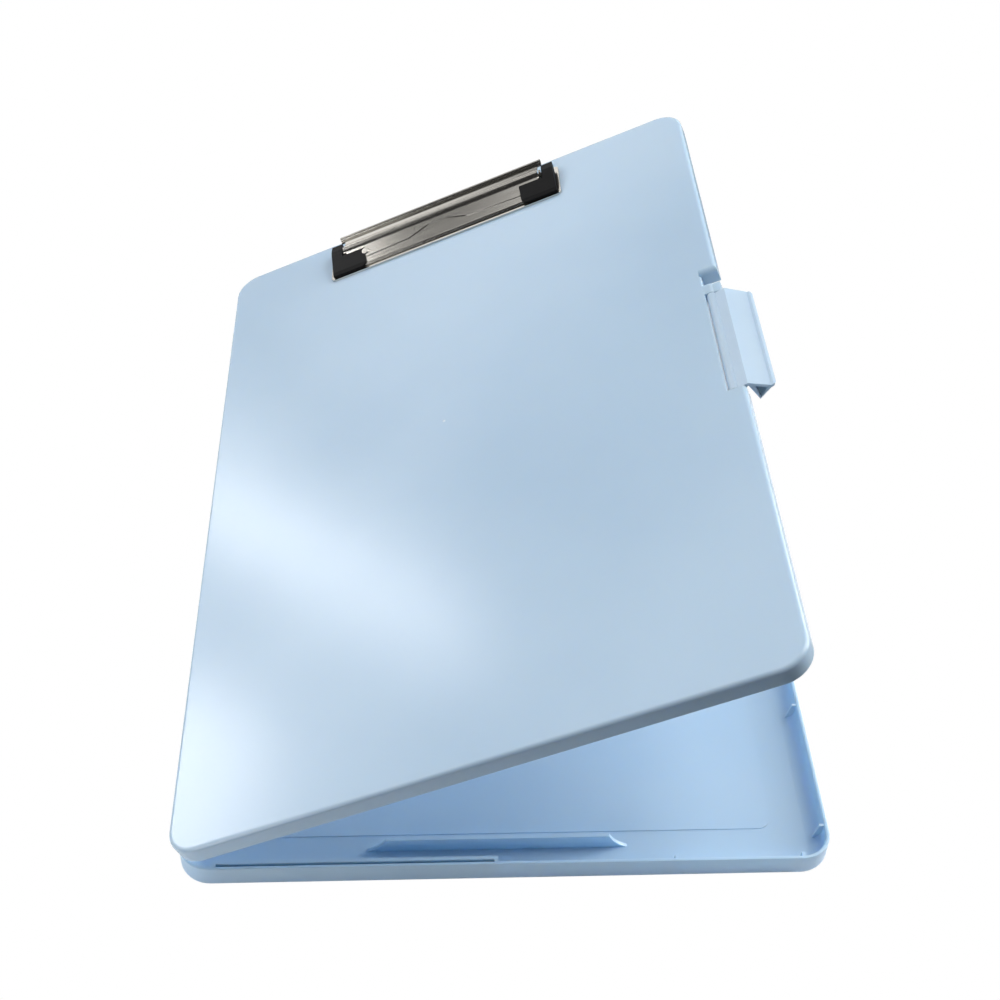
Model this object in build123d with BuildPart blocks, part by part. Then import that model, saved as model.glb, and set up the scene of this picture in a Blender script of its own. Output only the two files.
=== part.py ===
"""A4 storage clipboard: a shallow tray whose lid is the writing board.

The lid turns on pins along the left long side, a flap on the right long side
hooks under the tray, and a low steel clip is riveted to the far end of the lid.

Frame: X from the hinge side to the latch side, Y from the near end to the clip
end, Z up. The origin is the centre of the tray's underside. The lid is drawn
standing open, the flap swung out and the clip shut.
"""

import os
from math import atan2, cos, radians, sin, tan

from build123d import *

# ---------------------------------------------------------------- case, mm
box_width = 240.0  # across, over both side walls
box_length = 355.0  # near end to clip end
base_height = 10.2
lid_height = 7.3
parting_gap = 0.2  # between the rims when the lid is shut
corner_radius = 11.8
base_edge_round = 2.4
lid_edge_round = 1.6
lid_rim_round = 0.4
rim_round_inside = 0.8  # of the tray's rim
rim_round_outside = 0.3
wall = 1.5
floor_thickness = 1.8
board_thickness = 2.2
floor_cove = 5.5
board_cove = 1.2
lid_angle = 24.9  # how far the lid stands open

# ---------------------------------------------------------------- tray details, mm
panel_inset_side = 19.4  # raised paper panel on the floor
panel_inset_end = 19.5
panel_radius = 5.0
panel_rise = 0.3
rail_y_offset = 13.2  # pen rail, from the near end to its middle
rail_start = 68.3  # from the hinge wall's outside
rail_foot_length = 96.7
rail_top_length = 82.6
rail_height = 6.6
rail_thickness = 1.4
lip_start = 13.4  # second lip inside the near wall, from the hinge wall's outside
lip_length = 102.0
lip_gap = 0.8
lip_thickness = 1.3
nib_thickness = 1.0  # gusset ribs that stiffen the walls
nib_reach = 1.6
nib_foot = 3.5
nib_below_rim = 0.4
nib_corner_x = 11.4  # nib places, from the latch wall's outside
nib_far_x = 58.4
nib_corner_y = 15.0  # and from either end
nib_far_y = 73.4

# ---------------------------------------------------------------- lid hinge, mm
hinge_offset = 1.0  # axis outside the tray wall
knuckle_radius = 1.8
knuckle_width = 8.0
knuckle_gap = 0.4
knuckle_air = 0.3  # around a barrel, where the other wall gives it room
knuckles_per_hinge = 5
hinge_end_inset = 52.5  # outer hinges' middles, from either end
hinge_pin_radius = 0.8
pin_clearance = 0.03
web_depth = 3.6  # how far a knuckle's web runs down its wall below the barrel

# ---------------------------------------------------------------- latch, mm
latch_y_start = -34.8  # near end of the flap
latch_length = 63.5
latch_angle = 59.2  # how far the flap is swung out from shut
latch_inset = 4.9  # its axis, in from the lid's outside
latch_barrel_radius = 2.15
latch_pin_radius = 0.8
latch_top_gap = 0.05  # barrel below the board's top
latch_gap = 0.3
finger_gap = 9.4  # open notch behind the rear lug
finger_round = 2.6  # on the notch's rear edge, for the finger
notch_round = 0.7
lug_length = 6.0
lug_step = 0.6  # its outer block, below the barrel's top
pin_boss_length = 3.0
flap_top_drop = 3.9  # axis to the flap's upper edge
flap_drop = 13.2  # axis to the flap's crease
flap_thickness = 1.2
lip_flare = 0.7  # finger lip beyond the crease
lip_drop = 0.9
lip_width = 1.2
lip_corner = 2.2
flap_slant = 1.8  # shorter at the lip than at the barrel, at the clip end
hook_reach = 7.2  # apex, in from the flap's outer face
hook_drop = 10.8
hook_foot_drop = 13.6
hollow_top_drop = 7.2
hollow_foot_drop = 12.2
hollow_tip = 1.0  # short of the hook's apex
catch_height = 3.2
catch_gap = 0.6
recess_gap = 0.7

# ---------------------------------------------------------------- clip, mm
clip_shift = -3.4  # clip's middle, from the lid's middle
plate_length = 122.0
plate_rear = 9.5  # plate edges, in from the lid's clip end
plate_front = 33.4
plate_thickness = 1.0
plate_corner = 2.0
rod_inset = 15.9
rod_height = 3.4  # above the board
rod_radius = 1.0
rod_stub = 0.3  # how far the rod's ends stand out of the ears
ear_end_inset = 8.7  # inside of an ear, in from the plate's end
ear_thickness = 0.8
ear_radius = 2.5
sheet = 0.8  # jaw and its roll
barrel_radius = 2.7  # to the middle of the sheet
barrel_front_angle = 66.0
barrel_rear_angle = -45.0
jaw_front = 31.0
jaw_lip_gap = 0.05
jaw_lip_rise = 0.35
jaw_lip_length = 0.8
jaw_foot_radius = 0.8
jaw_end_inset = 2.4  # end of the jaw, in from the plate's end
jaw_play = 0.4  # between barrel and ears
roll_overlap = 1.7  # how far the rolled edge reaches past an ear's inside
jaw_slot_rear = 10.7  # room for the ears, in from the clip end
jaw_slot_front = 20.3
roll_inset = 8.4
roll_height = 6.1
roll_radius = 1.15
step_height = 0.45  # pressed step across the jaw
step_end_inset = 27.3
step_inset = 25.9
step_hump = 4.3
step_hump_foot = 15.2
step_hump_top = 4.5
step_shift = -2.4
dimple_spot = -41.2  # small pressed dimple, from the clip's middle
dimple_inset = 23.0
dimple_radius = 2.0
dimple_height = 0.5

cap_foot_length = 18.0
cap_foot_start = 20.9
cap_foot_corner = 2.5
cap_front = 32.1
cap_cover = 0.8
cap_leg_rear = 10.9
cap_leg_top = 5.3
cap_leg_gap = 0.6  # between an ear and the cap's leg
cap_lift = 0.1

rivet_end_inset = 18.5  # in from the plate's end
rivet_inset = 18.1
rivet_radius = 1.6
rivet_head_radius = 2.6
rivet_head_height = 1.15
rivet_tail_radius = 2.4
rivet_tail_height = 0.8
rivet_clearance = 0.05
washer_radius = 4.0
washer_thickness = 0.8

spring_wire = 0.8
spring_clearance = 0.06
spring_half_turns = 11
spring_pitch = 1.3
spring_place = 26.0
spring_lower_dip = 10.0  # how much each leg dips as it leaves the coil
spring_upper_dip = 20.0
spring_leg = 3.1

# ---------------------------------------------------------------- derived places
half_width = box_width / 2
half_length = box_length / 2
hinge_x = -half_width - hinge_offset
hinge_z = base_height + parting_gap / 2
slope = radians(lid_angle)
lid_frame = Plane(
    origin=(hinge_x, 0, hinge_z),
    x_dir=(cos(slope), 0, sin(slope)),
    z_dir=(-sin(slope), 0, cos(slope)),
)
lid_normal = Axis((hinge_x, 0, hinge_z), lid_frame.z_dir)
lid_middle = hinge_offset + half_width
lid_outside = hinge_offset + box_width
underside = parting_gap / 2
board_top = underside + lid_height

latch_x = lid_outside - latch_inset
latch_z = board_top - latch_top_gap - latch_barrel_radius
notch_inner = latch_x - latch_barrel_radius - latch_gap
notch_front = latch_y_start - latch_gap
lug_y = latch_y_start + latch_length + latch_gap
notch_rear = lug_y + lug_length + finger_gap
notch_length = notch_rear - notch_front
notch_middle = (notch_rear + notch_front) / 2
lip_end_drop = flap_drop + lip_drop + lip_width

lid_latch_point = lid_frame.from_local_coords((latch_x, 0, latch_z))
shut_slope = radians(lid_angle + latch_angle)
latch_section = Plane(
    origin=lid_latch_point,
    x_dir=(cos(shut_slope), 0, sin(shut_slope)),
    z_dir=(0, -1, 0),
)

clip_point = lid_frame.from_local_coords((lid_middle + clip_shift, half_length, board_top))
clip_section = Plane(origin=clip_point, x_dir=(0, -1, 0), z_dir=-lid_frame.x_dir)
clip_plan = Plane(origin=clip_point, x_dir=lid_frame.x_dir, z_dir=lid_frame.z_dir)
ear_inner = plate_length / 2 - ear_end_inset
ear_outer = ear_inner + ear_thickness
barrel_half_length = ear_inner - jaw_play
roll_half_length = ear_inner + roll_overlap
jaw_half_length = plate_length / 2 - jaw_end_inset
cap_half_length = jaw_half_length + cap_cover
cap_leg_inner = ear_outer + cap_leg_gap
rivet_spots = [(side * (plate_length / 2 - rivet_end_inset), -rivet_inset) for side in (-1, 1)]


def ring_of_wall(plane, middle, height, inset):
    """Sketch the case outline, drawn in by an inset, on a plane at a height."""
    with BuildSketch(plane.offset(height)) as outline:
        with Locations((middle, 0)):
            RectangleRounded(
                box_width - 2 * inset,
                box_length - 2 * inset,
                corner_radius - inset,
            )
    return outline.sketch


# ---------------------------------------------------------------- hinge knuckles
hinge_length = knuckles_per_hinge * knuckle_width + (knuckles_per_hinge - 1) * knuckle_gap
knuckle_step = knuckle_width + knuckle_gap
hinge_places = [hinge_end_inset - half_length, 0, half_length - hinge_end_inset]


def knuckle_places(first):
    """Middles of every second knuckle, along Y, from the first one on."""
    start = -(hinge_length - knuckle_width) / 2
    return [
        place + start + index * knuckle_step
        for place in hinge_places
        for index in range(first, knuckles_per_hinge, 2)
    ]


def knuckles(plane, up, first):
    """Barrels around the hinge axis, each with a web that runs along its wall."""
    with BuildPart() as barrels:
        for place in knuckle_places(first):
            section = Plane(
                origin=plane.from_local_coords((0, place, 0)),
                x_dir=plane.x_dir,
                z_dir=-plane.y_dir,
            )
            with BuildSketch(section):
                Circle(knuckle_radius)
                with BuildLine():
                    Polyline(
                        (0, 0),
                        (0, up * knuckle_radius),
                        (hinge_offset + wall / 2, up * (knuckle_radius + web_depth)),
                        (hinge_offset + wall / 2, up * underside),
                        (0, 0),
                    )
                make_face()
            extrude(amount=knuckle_width / 2, both=True)
    return barrels.part


def knuckle_room(first):
    """Cylinders cut from a wall so that the other side's barrels turn freely in it."""
    with BuildPart() as room:
        for place in knuckle_places(first):
            with BuildSketch(Plane.XZ.offset(-place)):
                with Locations((hinge_x, hinge_z)):
                    Circle(knuckle_radius + knuckle_air)
            extrude(amount=knuckle_width / 2 + knuckle_gap, both=True)
    return room.part


# ---------------------------------------------------------------- tray
recess_depth = hook_reach + recess_gap
catch_slope = (hook_drop - flap_top_drop) / (hook_reach - flap_thickness)
shut_axis_height = latch_z + parting_gap / 2  # latch axis above the tray's rim


def hook_line(height):
    """Distance in from the outside of the hook's upper face, at a height over the rim."""
    below_top = shut_axis_height - flap_top_drop - height
    return flap_thickness + below_top / catch_slope


with BuildPart() as base_tray:
    extrude(ring_of_wall(Plane.XY, 0, 0, 0), amount=base_height)
    fillet(base_tray.faces().sort_by(Axis.Z)[0].outer_wire().edges(), base_edge_round)
    extrude(
        ring_of_wall(Plane.XY, 0, floor_thickness, wall),
        amount=base_height - floor_thickness,
        mode=Mode.SUBTRACT,
    )
    floor_edges = base_tray.edges().filter_by_position(
        Axis.Z, floor_thickness - 0.01, floor_thickness + 0.01
    )
    fillet(floor_edges, floor_cove)
    fillet(base_tray.faces().sort_by(Axis.Z)[-1].outer_wire().edges(), rim_round_outside)
    fillet(base_tray.faces().sort_by(Axis.Z)[-1].inner_wires()[0].edges(), rim_round_inside)
    # raised paper panel
    with BuildSketch(Plane.XY.offset(floor_thickness)):
        RectangleRounded(
            box_width - 2 * panel_inset_side,
            box_length - 2 * panel_inset_end,
            panel_radius,
        )
    extrude(amount=panel_rise)
    # pen rail with hollow-ground ends
    rail_run = (rail_foot_length - rail_top_length) / 2
    rail_x = -half_width + rail_start
    rail_top = floor_thickness + rail_height
    with BuildSketch(Plane.XZ.offset(half_length - rail_y_offset)):
        with BuildLine():
            Line((rail_x, floor_thickness / 2), (rail_x + rail_foot_length, floor_thickness / 2))
            Line(
                (rail_x + rail_foot_length, floor_thickness / 2),
                (rail_x + rail_foot_length, floor_thickness),
            )
            RadiusArc(
                (rail_x + rail_foot_length, floor_thickness),
                (rail_x + rail_foot_length - rail_run, rail_top),
                rail_foot_length / 8,
            )
            Line(
                (rail_x + rail_foot_length - rail_run, rail_top),
                (rail_x + rail_run, rail_top),
            )
            RadiusArc(
                (rail_x + rail_run, rail_top),
                (rail_x, floor_thickness),
                rail_foot_length / 8,
            )
            Line((rail_x, floor_thickness), (rail_x, floor_thickness / 2))
        make_face()
    extrude(amount=rail_thickness / 2, both=True)
    # second lip inside the near wall, closed at both ends
    lip_y = -half_length + wall + lip_gap
    with BuildSketch(Plane.XY.offset(floor_thickness)):
        with Locations((-half_width + lip_start + lip_length / 2, lip_y + lip_thickness / 2)):
            Rectangle(lip_length, lip_thickness)
        for lip_x in (lip_start, lip_start + lip_length):
            with Locations((-half_width + lip_x, lip_y)):
                Rectangle(lip_thickness, 2 * lip_gap + lip_thickness)
    extrude(amount=base_height - floor_thickness)
    # gusset ribs, each drawn on a plane that points away from its wall
    nib_top = base_height - nib_below_rim
    inner_x = half_width - wall
    inner_y = half_length - wall
    nib_planes = [
        Plane((half_width - nib_x, side * inner_y, 0), x_dir=(0, -side, 0), z_dir=(-side, 0, 0))
        for nib_x in (nib_corner_x, nib_far_x)
        for side in (-1, 1)
    ]
    nib_planes += [
        Plane((inner_x, side * (half_length - nib_y), 0), x_dir=(-1, 0, 0), z_dir=(0, 1, 0))
        for nib_y in (nib_corner_y, nib_far_y)
        for side in (-1, 1)
    ]
    with BuildSketch(*nib_planes):
        with BuildLine():
            Polyline(
                (-wall / 2, floor_thickness / 2),
                (nib_foot, floor_thickness / 2),
                (nib_foot, floor_thickness),
                (nib_reach, nib_top),
                (-wall / 2, nib_top),
                (-wall / 2, floor_thickness / 2),
            )
        make_face()
    extrude(amount=nib_thickness / 2, both=True)
    # hinge barrels
    add(knuckle_room(1), mode=Mode.SUBTRACT)
    add(knuckles(Plane(origin=(hinge_x, 0, hinge_z)), -1, 0))
    with BuildSketch(Plane.XZ.offset(0)):
        with Locations((hinge_x, hinge_z)):
            Circle(hinge_pin_radius + pin_clearance)
    extrude(amount=half_length, both=True, mode=Mode.SUBTRACT)
    # walled recess for the shut flap
    with BuildSketch(Plane.XY):
        with Locations((half_width - (recess_depth + wall) / 2, notch_middle)):
            Rectangle(recess_depth + wall, notch_length + 2 * wall)
        add(ring_of_wall(Plane.XY, 0, 0, wall / 2), mode=Mode.INTERSECT)
    extrude(amount=base_height)
    with BuildSketch(Plane.XY):
        with Locations((half_width - recess_depth / 2 + wall / 2, notch_middle)):
            Rectangle(recess_depth + wall, notch_length)
    extrude(amount=base_height, mode=Mode.SUBTRACT)
    # catch bar above the hook
    with BuildSketch(Plane.XZ.offset(-notch_middle)):
        with BuildLine():
            Polyline(
                (half_width - recess_depth - wall / 2, base_height),
                (half_width - hook_line(0) - catch_gap, base_height),
                (half_width - hook_line(-catch_height) - catch_gap, base_height - catch_height),
                (half_width - recess_depth - wall / 2, base_height - catch_height),
                (half_width - recess_depth - wall / 2, base_height),
            )
        make_face()
    extrude(amount=notch_length / 2, both=True)
base_tray.part.label = "base_tray"

# ---------------------------------------------------------------- lid
lug_section = Plane(
    origin=lid_frame.from_local_coords((latch_x, 0, latch_z)),
    x_dir=lid_frame.x_dir,
    z_dir=(0, -1, 0),
)

finger_section = Plane(
    origin=lid_frame.from_local_coords((notch_inner - notch_round, notch_rear, board_top)),
    x_dir=(0, 1, 0),
    z_dir=lid_frame.x_dir,
)

with BuildPart() as lid_board:
    extrude(ring_of_wall(lid_frame, lid_middle, underside, 0), amount=lid_height)
    fillet(lid_board.faces().sort_by(lid_normal)[-1].outer_wire().edges(), lid_edge_round)
    fillet(lid_board.faces().sort_by(lid_normal)[0].outer_wire().edges(), lid_rim_round)
    extrude(
        ring_of_wall(lid_frame, lid_middle, underside, wall),
        amount=lid_height - board_thickness,
        mode=Mode.SUBTRACT,
    )
    inner_face = lid_board.faces(Select.LAST).sort_by(lid_normal)[-1]
    fillet(inner_face.edges(), board_cove)
    # walls of the latch notch
    with BuildSketch(lid_frame.offset(underside)):
        with Locations(((notch_inner - wall + lid_outside - wall / 2) / 2, notch_middle)):
            Rectangle(lid_outside - wall / 2 - notch_inner + wall, notch_length + 2 * wall)
    extrude(amount=lid_height - board_thickness / 2)
    with BuildSketch(lid_frame.offset(0)):
        with Locations(((notch_inner + lid_outside + wall) / 2, notch_middle)):
            Rectangle(lid_outside + wall - notch_inner, notch_length)
    extrude(amount=2 * lid_height, mode=Mode.SUBTRACT)
    # soft edges of the notch: along the barrel, and wider where a finger goes in
    with BuildSketch(lug_section.offset(-notch_rear)):
        with Locations((notch_inner - latch_x, board_top - latch_z)):
            Rectangle(2 * notch_round, 2 * notch_round)
        with Locations((notch_inner - latch_x - notch_round, board_top - latch_z - notch_round)):
            Circle(notch_round, mode=Mode.SUBTRACT)
    extrude(amount=notch_length, mode=Mode.SUBTRACT)
    with BuildSketch(finger_section):
        Rectangle(2 * finger_round, 2 * finger_round)
        with Locations((finger_round, -finger_round)):
            Circle(finger_round, mode=Mode.SUBTRACT)
    extrude(amount=lid_outside - notch_inner + wall, mode=Mode.SUBTRACT)
    # rear lug and the boss behind the near wall of the notch, both for the latch pin
    with BuildSketch(lug_section.offset(-lug_y)):
        Circle(latch_barrel_radius)
        with Locations((-(latch_barrel_radius + latch_gap + wall / 2) / 2, 0)):
            Rectangle(latch_barrel_radius + latch_gap + wall / 2, 2 * latch_barrel_radius)
        with Locations((latch_inset / 2, -lug_step / 2)):
            Rectangle(latch_inset, 2 * latch_barrel_radius - lug_step)
    extrude(amount=-lug_length)
    with BuildSketch(lug_section.offset(-notch_front + wall / 2)):
        Circle(latch_barrel_radius)
    extrude(amount=pin_boss_length + wall / 2)
    with BuildSketch(lug_section.offset(-lug_y - lug_length)):
        Circle(latch_pin_radius + pin_clearance)
    extrude(amount=lug_y + lug_length - notch_front + pin_boss_length, mode=Mode.SUBTRACT)
    # hinge barrels
    add(knuckle_room(0), mode=Mode.SUBTRACT)
    add(knuckles(lid_frame, 1, 1))
    with BuildSketch(Plane.XZ):
        with Locations((hinge_x, hinge_z)):
            Circle(hinge_pin_radius + pin_clearance)
    extrude(amount=half_length, both=True, mode=Mode.SUBTRACT)
    # rivet holes
    with BuildSketch(clip_plan):
        with Locations(rivet_spots):
            Circle(rivet_radius + rivet_clearance)
    extrude(amount=-board_thickness, mode=Mode.SUBTRACT)
lid_board.part.label = "lid_board"

# ---------------------------------------------------------------- hinge pins
hinge_pins = []
for place in hinge_places:
    with BuildPart() as hinge_pin:
        with BuildSketch(Plane.XZ.offset(-place)):
            with Locations((hinge_x, hinge_z)):
                Circle(hinge_pin_radius)
        extrude(amount=hinge_length / 2, both=True)
        chamfer(hinge_pin.edges().filter_by(GeomType.CIRCLE), hinge_pin_radius / 4)
    hinge_pins.append(hinge_pin.part)
for name, pin in zip(("hinge_pin_front", "hinge_pin_middle", "hinge_pin_rear"), hinge_pins):
    pin.label = name

# ---------------------------------------------------------------- latch flap
flap_inner = latch_inset - flap_thickness
hook_tip = latch_inset - hook_reach
flap_rear = latch_y_start + latch_length
lip_plane = Plane(
    origin=lid_latch_point + latch_section.x_dir * flap_inner,
    x_dir=(0, 1, 0),
    z_dir=latch_section.x_dir,
)

with BuildPart() as latch_flap:
    with BuildSketch(latch_section.offset(-latch_y_start)):
        Circle(latch_barrel_radius)
        with BuildLine():
            Polyline(
                (0, 0),
                (latch_barrel_radius * cos(radians(20)), -latch_barrel_radius * sin(radians(20))),
                (latch_inset, -flap_top_drop),
                (latch_inset, -flap_drop),
                (latch_inset + lip_flare, -flap_drop - lip_drop),
                (latch_inset + lip_flare, -lip_end_drop),
                (latch_inset + lip_flare - flap_thickness, -lip_end_drop),
                (flap_inner, -hook_foot_drop),
                (hook_tip, -hook_drop),
                (flap_inner, -flap_top_drop - flap_thickness / 2),
                (-latch_barrel_radius * sin(radians(20)), -latch_barrel_radius * cos(radians(20))),
                (0, 0),
            )
        make_face()
        # open triangle inside the hook
        with BuildLine():
            Polyline(
                (flap_inner, -hollow_top_drop),
                (hook_tip + hollow_tip, -hook_drop),
                (flap_inner, -hollow_foot_drop),
                (flap_inner, -hollow_top_drop),
            )
        make_face(mode=Mode.SUBTRACT)
        Circle(latch_pin_radius + pin_clearance, mode=Mode.SUBTRACT)
    extrude(amount=-latch_length)
    # slanted end towards the clip
    with BuildSketch(lip_plane):
        with BuildLine():
            Polyline(
                (flap_rear, -flap_top_drop),
                (flap_rear - flap_slant, -lip_end_drop),
                (flap_rear + flap_slant, -lip_end_drop),
                (flap_rear, -flap_top_drop),
            )
        make_face()
    extrude(amount=2 * hook_reach, both=True, mode=Mode.SUBTRACT)
    # rounded corners of the finger lip
    with BuildSketch(lip_plane):
        for end, inward in ((latch_y_start, 1), (flap_rear - flap_slant, -1)):
            with Locations((end, -lip_end_drop)):
                Rectangle(2 * lip_corner, 2 * lip_corner)
            with Locations((end + inward * lip_corner, -lip_end_drop + lip_corner)):
                Circle(lip_corner, mode=Mode.SUBTRACT)
    extrude(amount=flap_thickness + 2 * lip_flare, mode=Mode.SUBTRACT)
latch_flap.part.label = "latch_flap"

with BuildPart() as latch_pin:
    with BuildSketch(lug_section.offset(-lug_y - lug_length)):
        Circle(latch_pin_radius)
    extrude(amount=lug_y + lug_length - notch_front + pin_boss_length - pin_clearance)
latch_pin.part.label = "latch_pin"

# ---------------------------------------------------------------- clip base plate
ear_foot = plate_thickness / 2

with BuildPart() as clip_base:
    with BuildSketch(clip_plan):
        with Locations((0, -(plate_front + plate_rear) / 2)):
            RectangleRounded(plate_length, plate_front - plate_rear, plate_corner)
        # windows that the two ears were bent up from
        for side in (-1, 1):
            with Locations((side * (ear_inner - rod_height), -rod_inset)):
                Rectangle(2 * rod_height, 2 * ear_radius, mode=Mode.SUBTRACT)
        with Locations(rivet_spots):
            Circle(rivet_radius + rivet_clearance, mode=Mode.SUBTRACT)
    extrude(amount=plate_thickness)
    for side in (-1, 1):
        with BuildSketch(clip_section.offset(side * ear_inner)):
            with Locations((rod_inset, rod_height)):
                Circle(ear_radius)
            with Locations((rod_inset, (rod_height + ear_foot) / 2)):
                Rectangle(2 * ear_radius, rod_height - ear_foot)
            with Locations((rod_inset, rod_height)):
                Circle(rod_radius + pin_clearance, mode=Mode.SUBTRACT)
        extrude(amount=side * ear_thickness)
clip_base.part.label = "clip_base_plate"

with BuildPart() as clip_rod:
    with BuildSketch(clip_section):
        with Locations((rod_inset, rod_height)):
            Circle(rod_radius)
    extrude(amount=ear_outer + rod_stub, both=True)
    chamfer(clip_rod.edges().filter_by(GeomType.CIRCLE), rod_radius / 4)
clip_rod.part.label = "clip_rod"

# ---------------------------------------------------------------- clip jaw
barrel_spread = radians(barrel_front_angle - barrel_rear_angle) / 2
barrel_lean = radians(barrel_front_angle + barrel_rear_angle) / 2
barrel_peak = barrel_radius / cos(barrel_spread)
lip_height = plate_thickness + jaw_lip_gap + sheet / 2


def barrel_point(angle, along=0.0):
    """A point of the barrel's middle line at an angle from upright, or past it on its tangent."""
    turn = radians(angle)
    forward = 1 if angle > 0 else -1
    return (
        rod_inset + barrel_radius * sin(turn) + forward * along * cos(turn),
        rod_height + barrel_radius * cos(turn) - forward * along * sin(turn),
    )


foot_run = jaw_foot_radius / 2
roll_line = roll_radius - sheet / 2
jaw_path_points = [
    (roll_inset, roll_height - roll_line),
    barrel_point(barrel_rear_angle, foot_run),
    (rod_inset + barrel_peak * sin(barrel_lean), rod_height + barrel_peak * cos(barrel_lean)),
    barrel_point(barrel_front_angle, foot_run),
    (jaw_front - jaw_lip_length, lip_height + jaw_lip_rise),
    (jaw_front, lip_height),
]
foot_front = barrel_point(barrel_front_angle, foot_run)
jaw_slope = atan2(
    foot_front[1] - lip_height - jaw_lip_rise,
    jaw_front - jaw_lip_length - foot_front[0],
)
jaw_face = Plane(
    origin=clip_section.from_local_coords(foot_front),
    x_dir=lid_frame.x_dir,
    z_dir=clip_section.x_dir * sin(jaw_slope) + clip_section.y_dir * cos(jaw_slope),
)


def on_slope(inset):
    """Distance down the jaw's sloping face of a line at an inset from the clip end."""
    return (inset - foot_front[0]) / cos(jaw_slope)


step_line = on_slope(step_inset)
step_line_end = on_slope(step_end_inset)
with BuildPart() as clip_jaw:
    with BuildSketch(clip_section):
        with BuildLine():
            FilletPolyline(
                *jaw_path_points,
                radius=[jaw_foot_radius, barrel_radius, jaw_foot_radius, jaw_foot_radius],
            )
            offset(amount=sheet / 2, side=Side.BOTH)
        make_face()
        with Locations((roll_inset, roll_height)):
            Circle(roll_radius)
            Circle(roll_radius - sheet, mode=Mode.SUBTRACT)
    extrude(amount=jaw_half_length, both=True)
    # room for the ears, and the shorter rolled edge behind it
    for side in (-1, 1):
        with BuildSketch(clip_plan):
            with Locations((side * (roll_half_length + jaw_half_length / 2), -jaw_slot_rear / 2)):
                Rectangle(jaw_half_length, jaw_slot_rear)
            with Locations(
                (
                    side * (barrel_half_length + jaw_half_length / 2),
                    -(jaw_slot_rear + jaw_slot_front) / 2,
                )
            ):
                Rectangle(jaw_half_length, jaw_slot_front - jaw_slot_rear)
        extrude(amount=3 * roll_height, mode=Mode.SUBTRACT)
    # pressed step: everything behind the line stands a little proud
    with BuildSketch(jaw_face.offset(sheet / 2 - step_height / 4)):
        with BuildLine():
            Polyline(
                (-barrel_half_length, 0),
                (-barrel_half_length, -step_line_end),
                (step_shift - step_hump_foot, -step_line),
                (step_shift - step_hump_top, -step_line + step_hump),
                (step_shift + step_hump_top, -step_line + step_hump),
                (step_shift + step_hump_foot, -step_line),
                (barrel_half_length, -step_line_end),
                (barrel_half_length, 0),
                (-barrel_half_length, 0),
            )
        make_face()
    extrude(amount=step_height * 1.25, taper=40)
    # small dimple
    with BuildSketch(jaw_face.offset(sheet / 2 + step_height / 2)):
        with Locations((dimple_spot, -on_slope(dimple_inset))):
            Circle(dimple_radius)
    extrude(amount=step_height / 2 + dimple_height)
    dimple_rim = clip_jaw.edges(Select.LAST).filter_by(GeomType.CIRCLE).sort_by(lid_normal)[-1]
    fillet(dimple_rim, dimple_height * 0.8)
clip_jaw.part.label = "clip_jaw"

# ---------------------------------------------------------------- end caps
cap_bottom = plate_thickness + cap_lift
cap_top_rear = foot_front[1] + sheet / 2 + cap_cover
cap_top_front = lip_height + jaw_lip_rise + sheet / 2 + cap_cover
clip_caps = []
for side in (1, -1):
    with BuildPart() as cap:
        with BuildSketch(clip_section.offset(side * cap_half_length)) as leg:
            with BuildLine():
                Polyline(
                    (cap_leg_rear, rod_height),
                    (cap_leg_rear, cap_leg_top),
                    (rod_inset, cap_leg_top + cap_cover / 2),
                    (foot_front[0], cap_top_rear),
                    (jaw_front - jaw_lip_length, cap_top_front),
                    (cap_front, cap_top_front - cap_cover),
                    (cap_front, cap_bottom),
                    (rod_inset + ear_radius, cap_bottom),
                    (cap_leg_rear, rod_height),
                )
            make_face()
        extrude(amount=-side * (cap_half_length - cap_leg_inner))
        with BuildSketch(clip_section.offset(side * cap_leg_inner)):
            with BuildLine():
                Polyline(
                    (cap_foot_start, cap_bottom),
                    (cap_foot_start, cap_top_rear - (cap_foot_start - foot_front[0]) * tan(jaw_slope)),
                    (jaw_front - jaw_lip_length, cap_top_front),
                    (cap_front, cap_top_front - cap_cover),
                    (cap_front, cap_bottom),
                    (cap_foot_start, cap_bottom),
                )
            make_face()
        extrude(amount=-side * (cap_foot_length - cap_half_length + cap_leg_inner))
        # rounded inner corner of the foot
        foot_end = cap_half_length - cap_foot_length
        with BuildSketch(clip_plan):
            with Locations((-side * foot_end, -cap_front)):
                Rectangle(2 * cap_foot_corner, 2 * cap_foot_corner)
            with Locations((-side * (foot_end + cap_foot_corner), -cap_front + cap_foot_corner)):
                Circle(cap_foot_corner, mode=Mode.SUBTRACT)
        extrude(amount=3 * roll_height, mode=Mode.SUBTRACT)
        add(clip_jaw.part, mode=Mode.SUBTRACT)
    clip_caps.append(cap.part)
clip_caps[0].label = "clip_cap_left"
clip_caps[1].label = "clip_cap_right"

# ---------------------------------------------------------------- rivets and washers
tail_start = -board_thickness - washer_thickness

with BuildPart() as clip_rivets:
    with BuildSketch(clip_plan.offset(tail_start)):
        with Locations(rivet_spots):
            Circle(rivet_radius)
    extrude(amount=plate_thickness - tail_start)
    with BuildSketch(clip_plan.offset(plate_thickness)):
        with Locations(rivet_spots):
            Circle(rivet_head_radius)
    extrude(amount=rivet_head_height)
    head_rims = clip_rivets.edges(Select.LAST).filter_by(GeomType.CIRCLE).group_by(lid_normal)[-1]
    fillet(head_rims, rivet_head_height * 0.8)
    with BuildSketch(clip_plan.offset(tail_start)):
        with Locations(rivet_spots):
            Circle(rivet_tail_radius)
    extrude(amount=-rivet_tail_height, taper=30)
clip_rivets.part.label = "clip_rivets"

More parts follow.
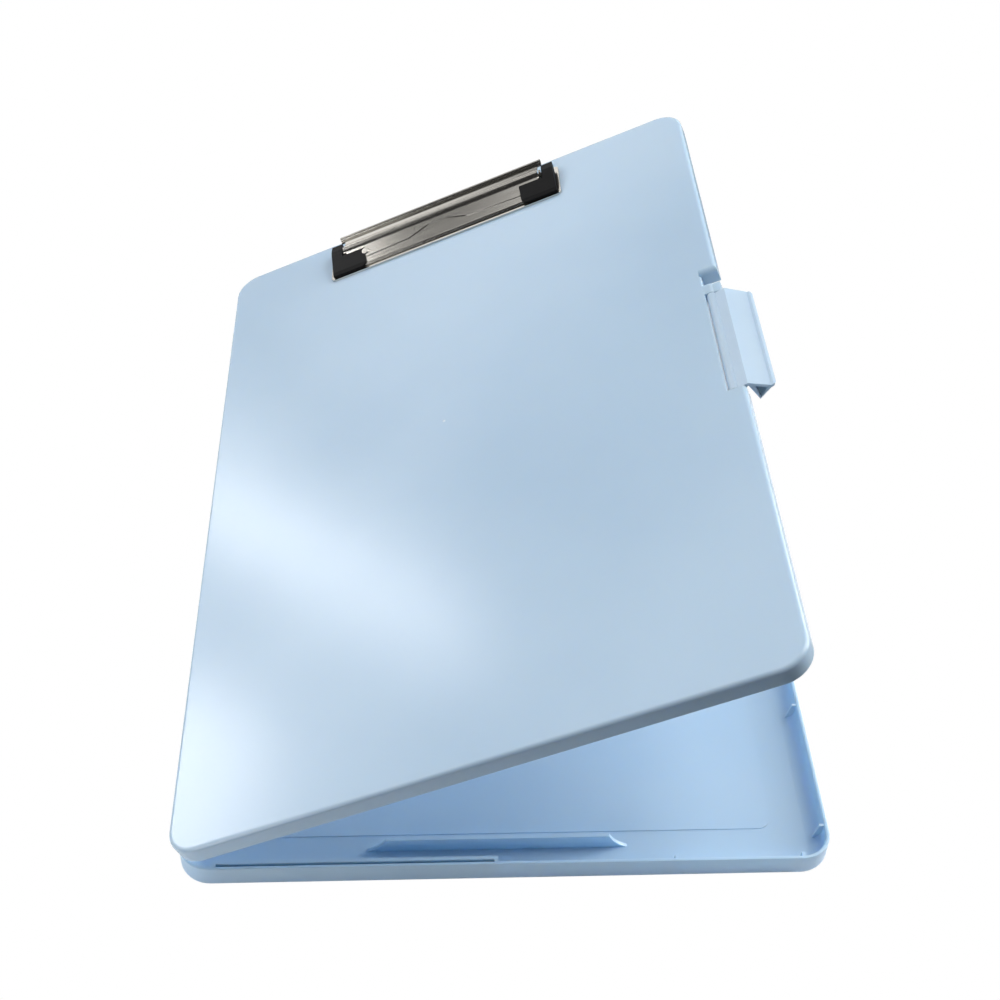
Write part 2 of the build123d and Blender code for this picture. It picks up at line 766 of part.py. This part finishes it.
with BuildPart() as clip_washers:
    with BuildSketch(clip_plan.offset(-board_thickness)):
        with Locations(rivet_spots):
            Circle(washer_radius)
            Circle(rivet_radius + rivet_clearance, mode=Mode.SUBTRACT)
    extrude(amount=-washer_thickness)
clip_washers.part.label = "clip_washers"

# ---------------------------------------------------------------- torsion springs
coil_radius = rod_radius + spring_clearance + spring_wire / 2
coil_turns = spring_half_turns / 2 + (spring_upper_dip - spring_lower_dip) / 360
coil_length = coil_turns * spring_pitch
coil_start = radians(spring_lower_dip - 90)
clip_springs = []
for side in (1, -1):
    # the coil starts under the rod and ends over it, so both legs run to the clip end
    middle = (rod_inset, rod_height, side * spring_place - coil_length / 2)
    coil_plane = Plane(
        origin=clip_section.from_local_coords(middle),
        x_dir=clip_section.x_dir * cos(coil_start) + clip_section.y_dir * sin(coil_start),
        z_dir=clip_section.z_dir,
    )
    with BuildPart() as spring:
        with BuildLine() as wire_line:
            coil = Helix(spring_pitch, coil_length, coil_radius)
            Line(coil @ 1, coil @ 1 + (coil % 1) * spring_leg)
            Line(coil @ 0 - (coil % 0) * spring_leg, coil @ 0)
        wire_path = wire_line.wire()
        with BuildSketch(Plane(origin=wire_path @ 0, z_dir=wire_path % 0)):
            Circle(spring_wire / 2)
        sweep(path=wire_path)
    clip_springs.append(spring.part.moved(coil_plane.location))
clip_springs[0].label = "clip_spring_left"
clip_springs[1].label = "clip_spring_right"

# ---------------------------------------------------------------- write the parts
pieces = [
    base_tray.part,
    lid_board.part,
    *hinge_pins,
    latch_flap.part,
    latch_pin.part,
    clip_base.part,
    clip_rod.part,
    clip_jaw.part,
    *clip_caps,
    clip_rivets.part,
    clip_washers.part,
    *clip_springs,
]
os.makedirs("parts", exist_ok=True)
for piece in pieces:
    export_step(piece, f"parts/{piece.label}.step")
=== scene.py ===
"""A powder-blue storage clipboard on a pale table, its lid standing open.

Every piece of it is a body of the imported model. This script gives each one the
finish of the real material, adds the small marks that moulding leaves, and sets
up the studio and the camera. Lengths are in metres.
"""
import math

import bpy
import numpy as np
from mathutils import Matrix, Vector

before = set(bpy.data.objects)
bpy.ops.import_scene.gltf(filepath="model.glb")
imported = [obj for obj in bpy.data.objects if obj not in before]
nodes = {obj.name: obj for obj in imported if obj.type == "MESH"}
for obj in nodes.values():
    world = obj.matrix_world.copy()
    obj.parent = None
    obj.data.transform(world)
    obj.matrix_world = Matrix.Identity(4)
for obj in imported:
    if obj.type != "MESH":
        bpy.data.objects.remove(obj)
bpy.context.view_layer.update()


# ---------------------------------------------------------------- tray
# The tray is one injection moulding in polypropylene. Its mould was spark eroded,
# which leaves a fine satin grain, and the thin walls let some light through.
def linear(code):
    """sRGB hex to linear colour: each channel c becomes ((c + 0.055) / 1.055) ** 2.4."""
    channels = np.array([int(code[i:i + 2], 16) for i in (1, 3, 5)]) / 255
    low, high = channels / 12.92, ((channels + 0.055) / 1.055) ** 2.4
    return (*np.where(channels < 0.04045, low, high), 1.0)


def add_node(tree, kind, settings=None, links=None):
    """Adds a shader node; settings go to its sockets or properties, links from (node, output)."""
    made = tree.nodes.new(kind)
    for name, value in (settings or {}).items():
        if not isinstance(name, str) or name in made.inputs:
            made.inputs[name].default_value = value
        else:
            setattr(made, name, value)
    for name, (source, output) in (links or {}).items():
        tree.links.new(source.outputs[output], made.inputs[name])
    return made


def new_material(name):
    """An empty material with its output node, and Object coordinates to place patterns by."""
    material = bpy.data.materials.new(name)
    material.use_nodes = True
    tree = material.node_tree
    tree.nodes.clear()
    output = add_node(tree, "ShaderNodeOutputMaterial")
    place = add_node(tree, "ShaderNodeTexCoord")
    return material, tree, output, place


def polypropylene(name, pale, deep, roughness, through, gate=None):
    """Moulded polypropylene: two near colours flow into each other, over a satin grain.

    A gate is the place where the melt came in; it leaves a small pale pip there.
    """
    flow_size = 0.11  # soft clouds where the melt flowed, 110 mm
    grain_size = 0.0007  # spark grain, drawn a little coarse so that it shows
    material, tree, output, place = new_material(name)
    flow = add_node(tree, "ShaderNodeTexNoise", {"Scale": 1 / flow_size, "Detail": 3.0},
                    {"Vector": (place, "Object")})
    tone = add_node(tree, "ShaderNodeValToRGB", links={"Fac": (flow, "Fac")})
    tone.color_ramp.elements[0].position = 0.35
    tone.color_ramp.elements[0].color = linear(deep)
    tone.color_ramp.elements[1].position = 0.65
    tone.color_ramp.elements[1].color = linear(pale)
    grain = add_node(tree, "ShaderNodeTexNoise", {"Scale": 1 / grain_size, "Detail": 2.0},
                     {"Vector": (place, "Object")})
    gloss = add_node(tree, "ShaderNodeMapRange",
                     {"To Min": roughness - 0.04, "To Max": roughness + 0.04},
                     {"Value": (flow, "Fac")})
    bump = add_node(tree, "ShaderNodeBump", {"Strength": 0.25, "Distance": 0.00004},
                    {"Height": (grain, "Fac")})
    if gate:
        pip_radius = 0.0009
        reach = add_node(tree, "ShaderNodeVectorMath", {"operation": "DISTANCE", 1: gate},
                         {0: (place, "Object")})
        pip = add_node(tree, "ShaderNodeMapRange",
                       {"From Min": 0.0, "From Max": pip_radius, "To Min": 1.0, "To Max": 0.0},
                       {"Value": (reach, "Value")})
        tone = add_node(tree, "ShaderNodeMixRGB", {"Color2": linear("#f2f7fb")},
                        {"Fac": (pip, "Result"), "Color1": (tone, "Color")})
        bump = add_node(tree, "ShaderNodeBump", {"Strength": 0.6, "Distance": 0.0003},
                        {"Height": (pip, "Result"), "Normal": (bump, "Normal")})
    skin = add_node(tree, "ShaderNodeBsdfPrincipled",
                    {"IOR": 1.49, "Subsurface Weight": through, "Subsurface Scale": 0.004,
                     "Subsurface Radius": (0.6, 0.8, 1.0)},
                    {"Base Color": (tone, "Color"), "Roughness": (gloss, "Result"),
                     "Normal": (bump, "Normal")})
    tree.links.new(skin.outputs["BSDF"], output.inputs["Surface"])
    return material


def dress(name, material):
    """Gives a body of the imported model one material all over."""
    nodes[name].data.materials.clear()
    nodes[name].data.materials.append(material)


dress("base_tray", polypropylene("polypropylene_moulded_tray", "#c0daf3", "#b9d6f1", 0.34, 0.35))


# ---------------------------------------------------------------- lid
# The lid is the writing board, moulded in the same polypropylene. Its face is a
# little smoother, so a window or lamp shows in it as a broad soft glare.
dress("lid_board", polypropylene("polypropylene_moulded_board", "#c0d7eb", "#bad2e7", 0.18, 0.35,
                                 gate=(-0.02057, 0.00794, 0.06508)))


# ---------------------------------------------------------------- hinge pins
# Three drawn steel wires, pushed in along the knuckles. Drawing leaves fine
# lines along the wire.
def steel(name, colour, roughness, line_size, turn):
    """Bright steel with fine lines: noise stretched sixty times along X, after a turn in degrees."""
    material, tree, output, place = new_material(name)
    turned = add_node(tree, "ShaderNodeMapping", {"Rotation": [math.radians(t) for t in turn]},
                      {"Vector": (place, "Object")})
    drawn = add_node(tree, "ShaderNodeMapping",
                     {"Scale": (1 / (60 * line_size), 1 / line_size, 1 / line_size)},
                     {"Vector": (turned, "Vector")})
    lines = add_node(tree, "ShaderNodeTexNoise", {"Scale": 1.0, "Detail": 2.0},
                     {"Vector": (drawn, "Vector")})
    gloss = add_node(tree, "ShaderNodeMapRange",
                     {"To Min": roughness * 0.8, "To Max": roughness * 1.2},
                     {"Value": (lines, "Fac")})
    tone = add_node(tree, "ShaderNodeValToRGB", links={"Fac": (lines, "Fac")})
    tone.color_ramp.elements[0].color = linear(colour[0])
    tone.color_ramp.elements[1].color = linear(colour[1])
    skin = add_node(tree, "ShaderNodeBsdfPrincipled", {"Metallic": 1.0},
                    {"Base Color": (tone, "Color"), "Roughness": (gloss, "Result")})
    tree.links.new(skin.outputs["BSDF"], output.inputs["Surface"])
    return material


wire = steel("steel_drawn_wire", ("#9a9a9c", "#b8b8ba"), 0.28, 0.0003, (0, 0, -90))
for pin in ("hinge_pin_front", "hinge_pin_middle", "hinge_pin_rear"):
    dress(pin, wire)


# ---------------------------------------------------------------- latch flap
# The flap snaps onto a thin pin in the lid's notch. It is the same polypropylene,
# thinner than the lid, so more light comes through it.
dress("latch_flap", polypropylene("polypropylene_moulded_flap", "#c3d8ec", "#bcd3e9", 0.28, 0.25))
dress("latch_pin", wire)


# ---------------------------------------------------------------- clip base plate
# Pressed from steel strip and nickel plated. Two ears are bent up from it.
nickel = steel("steel_nickel_plated_strip", ("#bcb8b0", "#d8d5cf"), 0.18, 0.0005, (0, 24.9, 0))
dress("clip_base_plate", nickel)


# ---------------------------------------------------------------- clip rod and springs
# The rod carries the jaw. Two small torsion springs of drawn wire sit on it.
dress("clip_rod", wire)
spring_wire = steel("steel_drawn_spring_wire", ("#7c7a78", "#969492"), 0.3, 0.0003, (0, 0, 0))
for spring in ("clip_spring_left", "clip_spring_right"):
    dress(spring, spring_wire)


# ---------------------------------------------------------------- clip jaw
# One pressed and rolled sheet, nickel plated. It mirrors the room in long bands.
dress("clip_jaw", nickel)


# ---------------------------------------------------------------- end caps
# Soft black vinyl, moulded and pushed over the corners of the jaw.
def vinyl(name, pale, deep, roughness):
    """Soft black vinyl: a fine uneven skin, with slight wear that greys it in places."""
    skin_size = 0.0012
    material, tree, output, place = new_material(name)
    uneven = add_node(tree, "ShaderNodeTexNoise", {"Scale": 1 / skin_size, "Detail": 3.0},
                      {"Vector": (place, "Object")})
    tone = add_node(tree, "ShaderNodeValToRGB", links={"Fac": (uneven, "Fac")})
    tone.color_ramp.elements[0].color = linear(deep)
    tone.color_ramp.elements[1].color = linear(pale)
    bump = add_node(tree, "ShaderNodeBump", {"Strength": 0.4, "Distance": 0.00005},
                    {"Height": (uneven, "Fac")})
    skin = add_node(tree, "ShaderNodeBsdfPrincipled", {"Roughness": roughness, "Specular IOR Level": 0.2},
                    {"Base Color": (tone, "Color"), "Normal": (bump, "Normal")})
    tree.links.new(skin.outputs["BSDF"], output.inputs["Surface"])
    return material


caps = vinyl("vinyl_moulded_black", "#0c0c0e", "#050506", 0.5)
for cap in ("clip_cap_left", "clip_cap_right"):
    dress(cap, caps)


# ---------------------------------------------------------------- rivets and washers
# Plated tubular rivets, set from above through plate and board onto washers.
dress("clip_rivets", nickel)
dress("clip_washers", nickel)


# ---------------------------------------------------------------- studio
# A white table, a soft white room, and softboxes round it; the tall narrow one at the back left
# is the glare on the lid. The table glows evenly white to the camera. To every other ray it is a
# painted pool of light, bright close round the tray and dark further off.
def flat_sheet(name, corners):
    """A rectangle of one face through four corners."""
    mesh = bpy.data.meshes.new(name)
    mesh.from_pydata([Vector(c) for c in corners], [], [(0, 1, 2, 3)])
    sheet = bpy.data.objects.new(name, mesh)
    bpy.context.scene.collection.objects.link(sheet)
    return sheet


table_half = 6.0
table = flat_sheet("table", [(-table_half, -table_half, 0), (table_half, -table_half, 0),
                             (table_half, table_half, 0), (-table_half, table_half, 0)])
# Painted light: the camera sees the table glow evenly white. For every other ray its colour is painted
# bright within 2 cm of the tray's outline and falls to nearly black by 11 cm, a painted pool of bounce
# light.
paint, tree, output, place = new_material("table_white_with_painted_light_pool")
outside = add_node(tree, "ShaderNodeVectorMath", {"operation": "ABSOLUTE"}, {0: (place, "Object")})
outside = add_node(tree, "ShaderNodeVectorMath", {"operation": "SUBTRACT", 1: (0.12, 0.1775, 0)},
                   {0: (outside, "Vector")})
outside = add_node(tree, "ShaderNodeVectorMath", {"operation": "MAXIMUM"}, {0: (outside, "Vector")})
away = add_node(tree, "ShaderNodeVectorMath", {"operation": "LENGTH"}, {0: (outside, "Vector")})
painted_bounce_pool = add_node(tree, "ShaderNodeMapRange",
                 {"From Min": 0.02, "From Max": 0.11, "To Min": 1.0, "To Max": 0.05,
                  "interpolation_type": "SMOOTHSTEP"}, {"Value": (away, "Value")})
skin = add_node(tree, "ShaderNodeBsdfDiffuse", links={"Color": (painted_bounce_pool, "Result")})
glow = add_node(tree, "ShaderNodeEmission", {"Color": (1.0, 1.0, 1.0, 1.0), "Strength": 1.0})
seen = add_node(tree, "ShaderNodeLightPath")
both = add_node(tree, "ShaderNodeMixShader", {},
                {"Fac": (seen, "Is Camera Ray")})
tree.links.new(skin.outputs["BSDF"], both.inputs[1])
tree.links.new(glow.outputs["Emission"], both.inputs[2])
tree.links.new(both.outputs["Shader"], output.inputs["Surface"])
table.data.materials.append(paint)

room = bpy.data.worlds.new("room")
bpy.context.scene.world = room
room.use_nodes = True
room.node_tree.nodes["Background"].inputs["Color"].default_value = (1, 1, 1, 1)
room.node_tree.nodes["Background"].inputs["Strength"].default_value = 0.02


def softbox(name, place, target, width, height, power):
    """An area light at a place that faces a target."""
    data = bpy.data.lights.new(name, "AREA")
    data.shape = "RECTANGLE"
    data.size, data.size_y, data.energy = width, height, power
    lamp = bpy.data.objects.new(name, data)
    bpy.context.scene.collection.objects.link(lamp)
    lamp.location = place
    lamp.rotation_mode = "QUATERNION"
    lamp.rotation_quaternion = (Vector(target) - Vector(place)).to_track_quat("-Z", "Y")
    return lamp


centre = (0, 0, 0.05)
softbox("softbox_strip", (-1.105, 1.227, 0.768), centre, 0.11, 0.56, 1.3)
softbox("softbox_back_left", (-1.246, 1.083, 0.768), centre, 0.75, 0.48, 1.8)
softbox("softbox_left_low", (-1.384, 0.933, 0.724), centre, 0.32, 0.22, 2)
softbox("softbox_left", (-1.6, 0.1, 0.9), centre, 1.2, 1.2, 11)
softbox("softbox_ceiling", (-0.735, 1.012, 1.345), centre, 0.8, 0.45, 1.1)
softbox("softbox_top", (0.0, 0.2, 1.8), centre, 1, 1, 3.5)
softbox("softbox_backdrop", (-0.454, 2.136, 0.318), centre, 3.4, 0.7, 6.5)
softbox("softbox_back", (-0.603, 1.655, 0.762), centre, 0.9, 0.3, 1.2)
softbox("softbox_right_high", (0.845, 0.226, 1.566), centre, 1, 1, 16.5)
softbox("softbox_right", (1.449, 0.388, 0.951), centre, 0.9, 0.7, 10)
softbox("softbox_right_low", (1.558, 0.694, 0.444), centre, 1.2, 0.5, 18)
softbox("softbox_front_left", (-0.50, -0.62, 0.20), (-0.05, -0.18, 0.03), 0.25, 0.2, 1)

# ---------------------------------------------------------------- camera
# Solved from the edges of the tray and the lid in the photograph.
eye = Vector((-0.03354, -0.52053, 0.50421))
right = Vector((0.99856, -0.04408, 0.03048))
down = Vector((-0.00733, -0.67570, -0.73714))
ahead = Vector((0.05309, 0.73586, -0.67505))
lens = bpy.data.cameras.new("camera")
lens.sensor_width = 36.0
lens.lens = 58.281
lens.clip_start, lens.clip_end = 0.01, 50.0
camera = bpy.data.objects.new("camera", lens)
bpy.context.scene.collection.objects.link(camera)
camera.matrix_world = Matrix((
    (right.x, -down.x, -ahead.x, eye.x),
    (right.y, -down.y, -ahead.y, eye.y),
    (right.z, -down.z, -ahead.z, eye.z),
    (0, 0, 0, 1),
))
bpy.context.scene.camera = camera
bpy.context.scene.view_settings.view_transform = "Standard"
